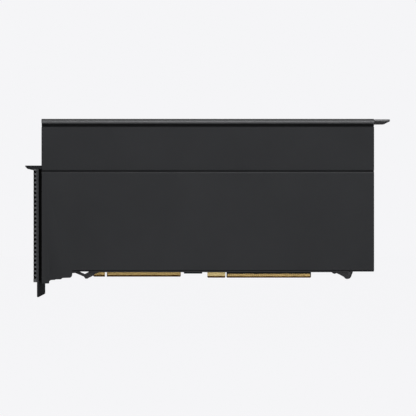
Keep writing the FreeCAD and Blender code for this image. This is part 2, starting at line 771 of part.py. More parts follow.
def heat_sink_base():
    """Base plate: pedestal over the processor, ribs over the power stages, grooves for the pipes."""
    base = box(base_left, base_right, base_upper, base_under, base_low, base_high)
    pedestal_w = die_width / 2 + memory_gap + memory_width
    pedestal = box(chip_x - pedestal_w, chip_x + pedestal_w, base_under, die_face(),
                   chip_z - die_height / 2, chip_z + die_height / 2)
    parts = [pedestal]
    rib_low = chip_z - inductor_rows * inductor_pitch / 2
    rib_high = chip_z + inductor_rows * inductor_pitch / 2
    for side in (-1, 1):
        x = chip_x + side * stage_offset
        parts.append(box(x - stage_width / 2, x + stage_width / 2, base_under,
                         board_face - stage_thick - pad_thick, rib_low, rib_high))
    for x in cover_screw_xs():
        parts.append(box(x - foot_height, x + foot_height, base_upper, base_under, floor_top, base_low))
    base = base.fuse(parts)
    half = pipe_width / 2
    cuts = [box(pipe_left, pipe_right, base_upper, base_upper + pipe_thick, z - half, z + half)
            for z in pipe_zs()]
    for x in cover_screw_xs():
        cuts.append(cylinder(screw_bore, (x, base_middle(), floor_top), (0, 0, foot_height + sheet)))
    return base.cut(Part.makeCompound(cuts)).removeSplitter()


def heat_pipes():
    """Flattened pipes with round sides, let into the base, their ends drawn to a round tip."""
    pipes = []
    for z in pipe_zs():
        pipe = box(pipe_left, pipe_right, base_upper, base_upper + pipe_thick, z - pipe_width / 2,
                   z + pipe_width / 2)
        ends = edges_where(pipe, lambda e: abs(
            e.Vertexes[0].Point.y - e.Vertexes[-1].Point.y) > pipe_thick / 2)
        pipes.append(pipe.makeFillet(pipe_width * 0.4, ends))
    return pipes


def fin_stack():
    """Thin upright fins on a common web, running the length of the duct."""
    tip = cover_inner + fin_tip_gap
    web_face = base_upper - fin_web
    stack = box(fin_left, fin_right, web_face, base_upper, fin_low, fin_high)
    count = int((fin_high - fin_low - fin_thick) / fin_pitch + 1e-6) + 1
    fins = []
    for i in range(count):
        z = fin_low + i * fin_pitch
        fins.append(box(fin_left, fin_right, tip, web_face, z, z + fin_thick))
    stack = stack.fuse(fins)
    relief = box(fin_left, fin_right, tip, cover_inner + seam_rail_thick + fin_tip_gap,
                 seam_rail_low - fin_tip_gap, seam_rail_high + fin_tip_gap)
    return stack.cut(relief).removeSplitter()


def board_standoffs():
    """Hexagonal standoffs between the board and the base; the board screws end at their feet."""
    return [hexagon_prism((x, base_under, z), (0, 1, 0), (1, 0, 0), base_rise, standoff_flats)
            for x, z in standoff_places()]


def board_screws():
    return [rod_y(screw_radius, x, z, board_face, back_y) for x, z in standoff_places()]


def rail_screws():
    return [rod_y(screw_radius, x, rail_screw_z(), plate_inner - rail_back_lip_thick, back_y)
            for x in rail_screw_xs()]


def cover_screws():
    return [cylinder(screw_radius, (x, base_middle(), body_bottom), (0, 0, sheet + foot_height))
            for x in cover_screw_xs()]


# ---- processor and power parts ----
def chip_block(x, z, width, height, near, thick):
    """A flat block centred at x, z whose underside lies at near, toward the board."""
    return box(x - width / 2, x + width / 2, near - thick, near, z - height / 2, z + height / 2)


def processor_substrate():
    return chip_block(chip_x, chip_z, package_side, package_side, board_face, substrate_thick)


def package_stiffener():
    near = board_face - substrate_thick
    ring = chip_block(chip_x, chip_z, package_side, package_side, near, stiffener_thick)
    inner = package_side - 2 * stiffener_bar
    return ring.cut(chip_block(chip_x, chip_z, inner, inner, near, stiffener_thick))


def processor_die():
    return chip_block(chip_x, chip_z, die_width, die_height, board_face - substrate_thick, die_thick)


def memory_stacks():
    away = die_width / 2 + memory_gap + memory_width / 2
    rise = (memory_height + memory_gap) / 2
    near = board_face - substrate_thick
    return [chip_block(chip_x + dx, chip_z + dz, memory_width, memory_height, near, die_thick)
            for dx in (-away, away) for dz in (-rise, rise)]


def power_inductors():
    blocks = []
    for side in (-1, 1):
        for dz in centred_steps(inductor_rows, inductor_pitch):
            block = chip_block(chip_x + side * inductor_offset, chip_z + dz, inductor_side, inductor_side,
                               board_face, inductor_height)
            blocks.append(block)
    return blocks


def power_stages():
    return [chip_block(x, z, stage_width, stage_height, board_face, stage_thick) for x, z in stage_places()]


def thermal_pads():
    return [chip_block(x, z, stage_width, stage_height, board_face - stage_thick, pad_thick)
            for x, z in stage_places()]


def capacitors():
    return [chip_block(chip_x + side * capacitor_offset, chip_z + dz, capacitor_width, capacitor_height,
                       board_face, capacitor_thick)
            for side in (-1, 1) for dz in centred_steps(capacitor_count, capacitor_pitch)]


def controller_chips():
    xs = (board_left + controller_from_ends[0], board_right - controller_from_ends[1])
    return [chip_block(x, base_low + rise, controller_side, controller_side, board_face, controller_thick)
            for x in xs for rise in controller_from_base]


def back_pad():
    """Soft pad that carries heat from the board's back to the back plate."""
    half = back_pad_side / 2
    return box(chip_x - half, chip_x + half, board_back, plate_inner, chip_z - half, chip_z + half)


def write(name, shapes):
    """One STEP file per node; a node of several like pieces holds them as separate solids."""
    pieces = shapes if isinstance(shapes, list) else [shapes]
    solids = [solid for piece in pieces for solid in piece.Solids]
    shape = solids[0] if len(solids) == 1 else Part.makeCompound(solids)
    shape.exportStep(os.path.join("parts", name + ".step"))


builders = [
    front_cover, upper_cover, top_rail, back_plate, seam_rail, end_frame, bracket_frame, corner_block,
    slot_bracket, vent_grille, bracket_seal, bracket_screws,
    circuit_board, x16_contacts, aux_short_contacts, aux_long_contacts,
    finger_guard, rear_foot, foot_pin, guard_screws,
    heat_sink_base, fin_stack, heat_pipes, board_standoffs, board_screws, rail_screws, cover_screws,
    processor_substrate, package_stiffener, processor_die, memory_stacks, power_inductors, power_stages,
    thermal_pads, capacitors, controller_chips, back_pad,
]

os.makedirs("parts", exist_ok=True)
for build in builders:
    write(build.__name__, build())
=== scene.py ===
import bpy
import bmesh
import json
import math
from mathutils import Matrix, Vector


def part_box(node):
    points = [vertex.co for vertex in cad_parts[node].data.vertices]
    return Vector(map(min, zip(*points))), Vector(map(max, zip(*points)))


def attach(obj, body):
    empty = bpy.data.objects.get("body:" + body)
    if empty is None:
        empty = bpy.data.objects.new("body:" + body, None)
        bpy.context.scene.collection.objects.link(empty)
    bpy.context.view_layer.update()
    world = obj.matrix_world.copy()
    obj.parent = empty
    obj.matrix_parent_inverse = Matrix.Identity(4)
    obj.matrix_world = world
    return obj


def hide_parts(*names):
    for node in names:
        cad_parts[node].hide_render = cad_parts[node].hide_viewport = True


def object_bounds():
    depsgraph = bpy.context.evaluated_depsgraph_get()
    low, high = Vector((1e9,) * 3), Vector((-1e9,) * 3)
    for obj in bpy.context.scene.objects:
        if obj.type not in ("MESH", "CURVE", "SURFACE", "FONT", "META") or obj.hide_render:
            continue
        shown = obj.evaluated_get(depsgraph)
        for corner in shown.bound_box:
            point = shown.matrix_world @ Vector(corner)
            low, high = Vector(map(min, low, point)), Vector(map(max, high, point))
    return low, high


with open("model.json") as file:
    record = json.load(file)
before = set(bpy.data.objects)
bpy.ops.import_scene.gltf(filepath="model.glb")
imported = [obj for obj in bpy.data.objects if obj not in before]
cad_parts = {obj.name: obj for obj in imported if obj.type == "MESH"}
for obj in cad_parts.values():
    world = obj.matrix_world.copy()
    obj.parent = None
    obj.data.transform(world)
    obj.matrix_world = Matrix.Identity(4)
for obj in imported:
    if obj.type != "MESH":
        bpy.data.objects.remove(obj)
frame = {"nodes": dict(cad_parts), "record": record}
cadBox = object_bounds()
nodes = frame["nodes"]
slotOf = {row["node"]: row["material_slot"] for row in frame["record"]["subparts"]}
mm = 0.001  # sizes in a piece's dictionary are in mm, all others in metres
print("frame loaded:", len(nodes), "nodes")

# camera straight in front of the cover, a long lens
view = {"x": 0.099, "z": 0.06656, "distance": 0.936, "lens": 86.7, "sensor": 36, "reach": 50}
# paper under and behind the card: drop is how far below, lift its brightness to the camera
paper = {"colour": (0.913, 0.913, 0.930), "drop": 0.30, "size": 14,
         "share": 0.97, "lift": 1.025, "matte": 0.25}
roomLevel = 0.2
lamps = {
    "frontPanel": {"place": (0.165, -1.0, 0.09), "aim": (0.13, 0.0, 0.10),
                   "size": (0.7, 0.2), "watts": 5.2},
    "keyPanel": {"place": (0.15, -0.98, 1.0), "aim": (0.12, 0.0, 0.08),
                 "size": (1.2, 0.5), "watts": 8.0},
    "topPanel": {"place": (0.12, -0.1, 1.5), "aim": (0.12, 0.0, 0.1),
                 "size": (1.2, 0.5), "watts": 1.2},
    "leftPanel": {"place": (-1.5, 0.3, 0.3), "aim": (0.0, 0.0, 0.05),
                  "size": (0.7, 1.2), "watts": 6},
    "rightPanel": {"place": (1.7, 0.3, 0.4), "aim": (0.1, 0.0, 0.05),
                   "size": (0.7, 1.2), "watts": 6},
    "backPanel": {"place": (0.10, 1.6, 0.9), "aim": (0.10, 0.0, 0.07),
                  "size": (2.0, 1.0), "watts": 12},
}


def joinNodes(tree, operation, first, second):
    if first is None:
        return second
    join = tree.nodes.new("ShaderNodeMath")
    join.operation = operation
    tree.links.new(first, join.inputs[0])
    tree.links.new(second, join.inputs[1])
    return join.outputs[0]


def paleRays(tree):
    # 1 for rays that should see the pale paper: camera, mirror and glass rays
    path = tree.nodes.new("ShaderNodeLightPath").outputs
    direct = joinNodes(tree, "MAXIMUM", path["Is Camera Ray"], path["Is Glossy Ray"])
    return joinNodes(tree, "MAXIMUM", direct, path["Is Transmission Ray"])


def mixRays(tree, share, plain, pale, out):
    mix = tree.nodes.new("ShaderNodeMixShader")
    tree.links.new(share, mix.inputs[0])
    tree.links.new(plain.outputs[0], mix.inputs[1])
    tree.links.new(pale.outputs[0], mix.inputs[2])
    tree.links.new(mix.outputs[0], out.inputs[0])


def makeWorld():
    world = bpy.data.worlds.new("studio")
    bpy.context.scene.world = world
    world.use_nodes = True
    tree = world.node_tree
    tree.nodes.clear()
    room = tree.nodes.new("ShaderNodeBackground")
    room.inputs["Color"].default_value = (1, 1, 1, 1)
    room.inputs["Strength"].default_value = roomLevel
    pale = tree.nodes.new("ShaderNodeBackground")
    pale.inputs["Color"].default_value = (*paper["colour"], 1)
    pale.inputs["Strength"].default_value = 1
    mixRays(tree, paleRays(tree), room, pale, tree.nodes.new("ShaderNodeOutputWorld"))


def makeFloor():
    half = paper["size"] / 2
    level = cadBox[0].z - paper["drop"]
    mesh = bpy.data.meshes.new("floor")
    square = ((-half, -half), (half, -half), (half, half), (-half, half))
    corners = [(x, y, level) for x, y in square]
    mesh.from_pydata(corners, [], [(0, 1, 2, 3)])
    floor = bpy.data.objects.new("floor", mesh)
    bpy.context.scene.collection.objects.link(floor)
    material = bpy.data.materials.new("paperFloor")
    material.use_nodes = True
    tree = material.node_tree
    tree.nodes.clear()
    matte = tree.nodes.new("ShaderNodeBsdfDiffuse")
    matte.inputs["Color"].default_value = (paper["matte"], paper["matte"], paper["matte"], 1)
    glow = tree.nodes.new("ShaderNodeEmission")
    glow.inputs["Color"].default_value = (*paper["colour"], 1)
    glow.inputs["Strength"].default_value = paper["lift"]
    share = tree.nodes.new("ShaderNodeMath")
    share.operation = "MULTIPLY"
    share.inputs[1].default_value = paper["share"]
    tree.links.new(paleRays(tree), share.inputs[0])
    mixRays(tree, share.outputs[0], matte, glow, tree.nodes.new("ShaderNodeOutputMaterial"))
    mesh.materials.append(material)


def makeLamps():
    for name, lamp in lamps.items():
        light = bpy.data.lights.new(name, "AREA")
        light.shape = "RECTANGLE"
        light.size, light.size_y = lamp["size"]
        light.energy = lamp["watts"]
        holder = bpy.data.objects.new(name, light)
        holder.location = lamp["place"]
        aim = Vector(lamp["aim"]) - Vector(lamp["place"])
        holder.rotation_euler = aim.to_track_quat("-Z", "Y").to_euler()
        bpy.context.scene.collection.objects.link(holder)


def makeCamera():
    data = bpy.data.cameras.new("camera")
    data.lens = view["lens"]
    data.sensor_width = view["sensor"]
    data.clip_end = view["reach"]
    camera = bpy.data.objects.new("camera", data)
    camera.location = (view["x"], cadBox[0].y - view["distance"], view["z"])
    camera.rotation_euler = (math.pi / 2, 0, 0)
    bpy.context.scene.collection.objects.link(camera)
    bpy.context.scene.camera = camera


bpy.context.scene.view_settings.view_transform = "Standard"
makeWorld()
makeFloor()
makeLamps()
makeCamera()
print("studio ready")

# what a finish has unless it says otherwise; sizes of grain and mottle are in metres
plainFinish = {"metal": 0, "stretch": (1, 1, 1), "grain": 0.0004, "depth": 0.08,
               "mottle": 0.05, "mottleSize": 0.03}
finishes = {
    # painted sheet: casing, rail, bracket and grille, with lighter and darker copies of their black
    # as painted light and shade
    "casing": {"colour": (0.0285, 0.0293, 0.0313), "rough": 0.6, "specular": 0.03,
               "depth": 0.12, "mottleSize": 0.05},
    "rail": {"colour": (0.030, 0.0308, 0.0325), "rough": 0.34, "specular": 0.32},
    "coverLip": {"colour": (0.030, 0.031, 0.033), "rough": 0.4, "specular": 0.25},
    # darker copy of the rail's black on its top faces: painted shade
    "railTopShade": {"colour": (0.017, 0.0175, 0.0185), "rough": 0.6, "specular": 0.04},
    # lighter copy of the rail's black on the bead's lower front: a painted highlight
    "beadHighlight": {"colour": (0.078, 0.0797, 0.084), "rough": 0.34, "specular": 0.35},
    # darker copy of the rail's black in the groove and under the rail: painted shade
    "railUnderShade": {"colour": (0.012, 0.0123, 0.013), "rough": 0.7, "specular": 0.03},
    # darker copy of the casing's black on the covers' folds and upright edges: painted shade
    "foldShade": {"colour": (0.0135, 0.014, 0.015), "rough": 0.7, "specular": 0.02, "depth": 0.1},
    # darker copy of the casing's black under the front cover's bottom fold: painted shade, with a
    # little more gloss
    "foldUnderShade": {"colour": (0.020, 0.0205, 0.022), "rough": 0.5, "specular": 0.08, "depth": 0.1},
    "bracket": {"colour": (0.019, 0.0195, 0.0215), "rough": 0.7, "specular": 0.01,
                "depth": 0.12, "mottle": 0.06, "mottleSize": 0.01},
    # lighter copy of the bracket's black, with no gloss, on the plate's inner face: painted light
    "bracketInnerLit": {"colour": (0.040, 0.041, 0.044), "rough": 0.7, "specular": 0.0,
                     "depth": 0.12, "mottle": 0.06, "mottleSize": 0.01},
    # lighter copy of the bracket's black on the grille: painted light
    "grille": {"colour": (0.046, 0.047, 0.050), "rough": 0.7, "specular": 0.03,
               "depth": 0.12, "mottle": 0.06, "mottleSize": 0.01},
    # still lighter copy on the grille's front edge: a painted highlight
    "grilleEdgeHighlight": {"colour": (0.085, 0.087, 0.091), "rough": 0.65, "specular": 0.1,
                   "depth": 0.12, "mottle": 0.06, "mottleSize": 0.01},
    # near black for the walls of the grille's holes: painted shade
    "shade": {"colour": (0.003, 0.003, 0.0033), "rough": 0.85, "specular": 0.02,
              "grain": 0.0005, "depth": 0.2, "mottle": 0.1, "mottleSize": 0.002},
    # frames, mouldings, foam, the groove's painted shade strip and screws
    "black_frame": {"colour": (0.0165, 0.0168, 0.018), "rough": 0.65, "specular": 0.04,
                    "grain": 0.0005, "depth": 0.12, "mottle": 0.08, "mottleSize": 0.02},
    "black_moulding": {"colour": (0.013, 0.013, 0.0145), "rough": 0.55, "specular": 0.3,
                       "grain": 0.0006, "depth": 0.25, "mottle": 0.1, "mottleSize": 0.004},
    # near-black foam; this near black also serves as painted shade in the grille's corner holes
    "seal": {"colour": (0.0016, 0.0016, 0.0016), "rough": 0.95, "specular": 0.02,
             "grain": 0.0009, "depth": 0.6, "mottle": 0.3, "mottleSize": 0.0012},
    # near black for the strip in the groove under the bead: painted shade
    "grooveShade": {"colour": (0.0072, 0.0073, 0.0076), "rough": 0.9, "specular": 0.02,
                  "grain": 0.0007, "depth": 0.3, "mottle": 0.12, "mottleSize": 0.003},
    "black_screw": {"colour": (0.024, 0.024, 0.026), "rough": 0.4, "specular": 0.35, "metal": 0.2,
                    "grain": 0.0003, "mottle": 0.15, "mottleSize": 0.001},
    # metals; stretch draws the grain out along the piece
    "heat_sink": {"colour": (0.46, 0.47, 0.49), "rough": 0.34, "specular": 0.5, "metal": 1.0,
                  "grain": 0.0008, "depth": 0.1, "mottleSize": 0.006, "stretch": (0.08, 1, 1)},
    "copper": {"colour": (0.62, 0.27, 0.15), "rough": 0.3, "specular": 0.5, "metal": 1.0,
               "grain": 0.0006, "depth": 0.1, "mottle": 0.12, "mottleSize": 0.004,
               "stretch": (0.1, 1, 1)},
    "steel": {"colour": (0.5, 0.5, 0.5), "rough": 0.28, "specular": 0.5, "metal": 1.0,
              "grain": 0.0005, "mottle": 0.06, "mottleSize": 0.002},
    "gold": {"colour": (0.72, 0.495, 0.176), "rough": 0.5, "specular": 0.3, "metal": 0.25,
             "grain": 0.0006, "depth": 0.02, "mottle": 0.02, "mottleSize": 0.004,
             "stretch": (1, 1, 0.15)},
    "paleGold": {"colour": (0.90, 0.70, 0.31), "rough": 0.5, "specular": 0.3, "metal": 0.25,
                 "grain": 0.0006, "depth": 0.02, "mottle": 0.02, "mottleSize": 0.004,
                 "stretch": (1, 1, 0.15)},
    # parts on the board
    "substrate": {"colour": (0.012, 0.06, 0.032), "rough": 0.4, "specular": 0.4,
                  "grain": 0.0006, "depth": 0.1, "mottle": 0.12, "mottleSize": 0.002},
    "silicon": {"colour": (0.06, 0.062, 0.07), "rough": 0.12, "specular": 0.6,
                "grain": 0.0005, "depth": 0.03, "mottle": 0.08, "mottleSize": 0.003},
    "ferrite": {"colour": (0.09, 0.09, 0.095), "rough": 0.6, "specular": 0.3,
                "grain": 0.0005, "depth": 0.35, "mottle": 0.2, "mottleSize": 0.0008},
    "chip_plastic": {"colour": (0.012, 0.012, 0.0125), "rough": 0.5, "specular": 0.35,
                     "grain": 0.0003, "depth": 0.2, "mottle": 0.1, "mottleSize": 0.001},
    "pad": {"colour": (0.3, 0.36, 0.43), "rough": 0.8, "specular": 0.2,
            "grain": 0.0008, "depth": 0.3, "mottle": 0.1, "mottleSize": 0.002},
}
# noise runs about from low to high; roughness swings by a share, bumps stand a share of the grain
noiseLook = {"low": 0.3, "high": 0.7, "mottleDetail": 3, "grainDetail": 4,
             "swing": 0.08, "bump": 0.3}


def placeNodes(tree, stretch=(1, 1, 1)):
    where = tree.nodes.new("ShaderNodeTexCoord")
    turn = tree.nodes.new("ShaderNodeMapping")
    turn.inputs["Scale"].default_value = stretch
    tree.links.new(where.outputs["Object"], turn.inputs["Vector"])
    return turn.outputs["Vector"]


def noiseNodes(tree, place, size, detail):
    noise = tree.nodes.new("ShaderNodeTexNoise")
    noise.inputs["Scale"].default_value = 1 / size
    noise.inputs["Detail"].default_value = detail
    tree.links.new(place, noise.inputs["Vector"])
    return noise.outputs["Fac"]


def spanNodes(tree, value, low, high):
    span = tree.nodes.new("ShaderNodeMapRange")
    span.inputs["From Min"].default_value = noiseLook["low"]
    span.inputs["From Max"].default_value = noiseLook["high"]
    span.inputs["To Min"].default_value = low
    span.inputs["To Max"].default_value = high
    tree.links.new(value, span.inputs["Value"])
    return span.outputs["Result"]


def blendColours(tree, factor, first, second):
    # the mix node's colour sockets are inputs 6 and 7 and output 2
    mix = tree.nodes.new("ShaderNodeMix")
    mix.data_type = "RGBA"
    for socket, colour in ((mix.inputs[6], first), (mix.inputs[7], second)):
        if isinstance(colour, tuple):
            socket.default_value = (*colour, 1)
        else:
            tree.links.new(colour, socket)
    tree.links.new(factor, mix.inputs[0])
    return mix.outputs[2]


def makeFinish(name, finish):
    look = {**plainFinish, **finish}
    material = bpy.data.materials.new(name)
    material.use_nodes = True
    tree = material.node_tree
    shader = tree.nodes["Principled BSDF"]
    shader.inputs["Metallic"].default_value = look["metal"]
    shader.inputs["Specular IOR Level"].default_value = look["specular"]
    place = placeNodes(tree, look["stretch"])
    mottle = noiseNodes(tree, place, look["mottleSize"], noiseLook["mottleDetail"])
    grain = noiseNodes(tree, place, look["grain"], noiseLook["grainDetail"])
    dark = tuple(c * (1 - look["mottle"]) for c in look["colour"])
    light = tuple(min(1, c * (1 + look["mottle"])) for c in look["colour"])
    colour = blendColours(tree, spanNodes(tree, mottle, 0, 1), dark, light)
    tree.links.new(colour, shader.inputs["Base Color"])
    low, high = (look["rough"] * (1 + way * noiseLook["swing"]) for way in (-1, 1))
    tree.links.new(spanNodes(tree, grain, low, min(1, high)), shader.inputs["Roughness"])
    bump = tree.nodes.new("ShaderNodeBump")
    bump.inputs["Strength"].default_value = look["depth"]
    bump.inputs["Distance"].default_value = look["grain"] * noiseLook["bump"]
    tree.links.new(grain, bump.inputs["Height"])
    tree.links.new(bump.outputs["Normal"], shader.inputs["Normal"])
    return material


def zoneNodes(tree, place, zones):
    # 1 inside any of the zones, each a list of axis, operation and limit
    parts = tree.nodes.new("ShaderNodeSeparateXYZ")
    tree.links.new(place, parts.inputs[0])
    inAny = None
    for zone in zones:
        inZone = None
        for axis, operation, limit in zone:
            test = tree.nodes.new("ShaderNodeMath")
            test.operation = operation
            test.inputs[1].default_value = limit
            tree.links.new(parts.outputs[axis], test.inputs[0])
            inZone = joinNodes(tree, "MULTIPLY", inZone, test.outputs[0])
        inAny = joinNodes(tree, "MAXIMUM", inAny, inZone)
    return inAny


def paintZones(material, zones, colour):
    tree = material.node_tree
    socket = tree.nodes["Principled BSDF"].inputs["Base Color"]
    plain = socket.links[0].from_socket
    inAny = zoneNodes(tree, placeNodes(tree), zones)
    tree.links.new(blendColours(tree, inAny, plain, colour), socket)


# board: black mask over faint tracks, bare brown laminate on the slanted edges of the tongues;
# a wave texture at scale 1 repeats every waveLength, and the bevel's rise and past are in mm
boardLook = {"mask": {"colour": (0.010, 0.0125, 0.0145), "rough": 0.6, "specular": 0.03,
                      "grain": 0.0007, "depth": 0.1, "mottle": 0.12, "mottleSize": 0.02},
             "track": (0.016, 0.020, 0.023), "trackPitch": 0.0012, "waveLength": 0.31,
             "wander": 2.5, "wanderSize": 0.05,
             "laminate": (0.074, 0.032, 0.0058), "bevelRise": 0.36, "bevelPast": 1.0,
             "tongues": (("x16_contacts", "x16_contacts"),
                         ("aux_short_contacts", "aux_long_contacts"))}


def makeBoardFinish():
    material = makeFinish("boardMask", boardLook["mask"])
    tree = material.node_tree
    shader = tree.nodes["Principled BSDF"]
    plain = shader.inputs["Base Color"].links[0].from_socket
    tracks = tree.nodes.new("ShaderNodeTexWave")
    tracks.inputs["Scale"].default_value = boardLook["waveLength"] / boardLook["trackPitch"]
    tracks.inputs["Distortion"].default_value = boardLook["wander"]
    tracks.inputs["Detail"].default_value = 1
    tracks.inputs["Detail Scale"].default_value = boardLook["wanderSize"]
    tree.links.new(placeNodes(tree), tracks.inputs["Vector"])
    lines = spanNodes(tree, tracks.outputs["Fac"], 0, 1)
    lined = blendColours(tree, lines, plain, boardLook["track"])
    tree.links.new(lined, shader.inputs["Base Color"])
    bevels = []
    past, rise = boardLook["bevelPast"] * mm, boardLook["bevelRise"] * mm
    for first, last in boardLook["tongues"]:
        low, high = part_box(first)[0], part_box(last)[1]
        bevels.append([("X", "GREATER_THAN", low.x - past), ("X", "LESS_THAN", high.x + past),
                       ("Z", "LESS_THAN", low.z + rise)])
    paintZones(material, bevels, boardLook["laminate"])
    return material


# the grille keeps its punched shape; the walls of its holes are painted near black as shade, its
# front edge is painted lighter as a highlight. inward is a limit of a face's normal
grilleLook = {"edgeDeep": 0.7, "edgeWide": 2.6, "skinDeep": 0.3, "margin": 1.0, "inward": 0.3}
grilleLow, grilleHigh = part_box("vent_grille")

materials = {slot: makeFinish(slot, look) for slot, look in finishes.items()}
materials["board"] = makeBoardFinish()
# the grille's lighter painted light, also laid on the bracket beside the grille
grilleLitColour = finishes["grille"]["colour"]
besideGrille = [("Z", "GREATER_THAN", grilleLow.z), ("Z", "LESS_THAN", grilleHigh.z)]
pastEdge = [("X", "GREATER_THAN", grilleLow.x + grilleLook["edgeWide"] * mm)]
# the bracket beside the grille takes the grille's lighter painted light
paintZones(materials["bracket"], [besideGrille], grilleLitColour)
# the painted edge highlight stays within edgeWide of the grille's outer side
paintZones(materials["grilleEdgeHighlight"], [pastEdge], grilleLitColour)
for node, thing in nodes.items():
    thing.data.materials.clear()
    thing.data.materials.append(materials[slotOf[node]])
print("finishes ready:", len(materials))

# corners nearer than merge are one, in metres; the others are angles in degrees: under flat two
# faces are one, over smooth and the like an edge stays sharp
meshLook = {"merge": 1e-6, "flat": 0.6, "smooth": 35, "turned": 30, "thin": 20, "pipe": 40}


def addPiece(name, mesh, slot, stands, finish=None):
    piece = bpy.data.objects.new(name, mesh)
    bpy.context.scene.collection.objects.link(piece)
    mesh.materials.clear()
    mesh.materials.append(materials[finish or slot])
    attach(piece, "root")
    if stands:
        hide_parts(stands)
    return piece


def closeMesh(name, work, smoothAngle=meshLook["smooth"]):
    bmesh.ops.recalc_face_normals(work, faces=work.faces)
    mesh = bpy.data.meshes.new(name)
    work.to_mesh(mesh)
    work.free()
    mesh.shade_smooth()
    mesh.set_sharp_from_angle(angle=math.radians(smoothAngle))
    return mesh


def solidCopy(node):
    work = bmesh.new()
    work.from_mesh(nodes[node].data)
    bmesh.ops.remove_doubles(work, verts=work.verts, dist=meshLook["merge"])
    return work


def joinRings(work, rings):
    # sides between neighbouring rings of corners, and a cap at each end
    size = len(rings[0])
    for low, high in zip(rings, rings[1:]):
        for i in range(size):
            j = (i + 1) % size
            work.faces.new((low[i], low[j], high[j], high[i]))
    work.faces.new(list(reversed(rings[0])))
    work.faces.new(rings[-1])


def paintFaces(piece, finish, test):
    mesh = piece.data
    mesh.materials.append(materials[finish])
    count = 0
    for face in mesh.polygons:
        if test(face.normal, face.center):
            face.material_index = len(mesh.materials) - 1
            count += 1
    print("painted", piece.name, finish, count)


# sheet and machined pieces get eased edges that catch the light: how wide, and the shortest edge
# that is eased; corner is the angle in degrees from which an edge counts
easeLook = {"corner": 30, "segments": 2, "profile": 0.5}
easedEdges = {
    "frontCover": {"node": "front_cover", "width": 0.28, "shortest": 1.4},
    "upperCover": {"node": "upper_cover", "width": 0.28, "shortest": 1.4},
    "topRail": {"node": "top_rail", "width": 0.25, "shortest": 1.4},
    "backPlate": {"node": "back_plate", "width": 0.25, "shortest": 1.4},
    "slotBracket": {"node": "slot_bracket", "width": 0.18, "shortest": 0.9},
    "endFrame": {"node": "end_frame", "width": 0.25, "shortest": 1.4},
    "bracketFrame": {"node": "bracket_frame", "width": 0.25, "shortest": 1.4},
    "seamRail": {"node": "seam_rail", "width": 0.2, "shortest": 1.4},
    "cornerBlock": {"node": "corner_block", "width": 0.3, "shortest": 1.4},
    "fingerGuard": {"node": "finger_guard", "width": 0.3, "shortest": 1.0},
    "rearFoot": {"node": "rear_foot", "width": 0.3, "shortest": 0.7},
    "heatSinkBase": {"node": "heat_sink_base", "width": 0.25, "shortest": 1.4},
    "inductorBlocks": {"node": "power_inductors", "width": 0.6, "shortest": 1.4},
    "controllerChips": {"node": "controller_chips", "width": 0.15, "shortest": 0.5},
    "powerStages": {"node": "power_stages", "width": 0.12, "shortest": 0.5},
    "processorDie": {"node": "processor_die", "width": 0.06, "shortest": 0.5},
    "capacitorCans": {"node": "capacitors", "width": 0.12, "shortest": 0.4},
    "memoryStacks": {"node": "memory_stacks", "width": 0.06, "shortest": 0.5},
    "substratePlate": {"node": "processor_substrate", "width": 0.1, "shortest": 0.5},
    "stiffenerRing": {"node": "package_stiffener", "width": 0.1, "shortest": 0.5},
}


def bevelEdges(work, edges, width):
    bmesh.ops.bevel(work, geom=edges, offset=width, offset_type="OFFSET", affect="EDGES",
                    segments=easeLook["segments"], profile=easeLook["profile"],
                    clamp_overlap=True, material=-1)


def easeEdges(name, look):
    work = solidCopy(look["node"])
    bmesh.ops.dissolve_limit(work, angle_limit=math.radians(meshLook["flat"]), delimit={"NORMAL"},
                             use_dissolve_boundaries=False, verts=work.verts, edges=work.edges)
    before = work.calc_volume()
    sharp = [e for e in work.edges if len(e.link_faces) == 2
             and e.calc_face_angle(0) > math.radians(easeLook["corner"])
             and e.calc_length() > look["shortest"] * mm]
    bevelEdges(work, sharp, look["width"] * mm)
    kept = work.calc_volume() / before
    print("eased", name, "edges", len(sharp), "volume kept %.4f" % kept)
    return addPiece(name, closeMesh(name, work), slotOf[look["node"]], look["node"])


eased = {name: easeEdges(name, look) for name, look in easedEdges.items()}
print("eased pieces ready:", len(eased))

# the rail's bead front is painted lighter as a highlight; its top, groove and underside and the
# covers' folds and upright edges are painted darker as shade, and the bracket's inner face lighter
# as painted light. names with Deep and High are distances in mm, the rest are limits of a face's
# normal
paintLook = {"beadDeep": 2.5, "beadRound": 0.12, "under": 0.85, "behind": 0.5, "above": 0.75,
             "forward": 0.3, "aside": 0.3, "lipHigh": 1.0, "lipFrom": 0.3, "lipTo": 0.95,
             "foldDeep": 2.0, "foldFrom": 0.1, "foldTo": 0.66,
             "foldHigh": 2.3, "foldUp": 0.4, "foldTurned": 0.05}


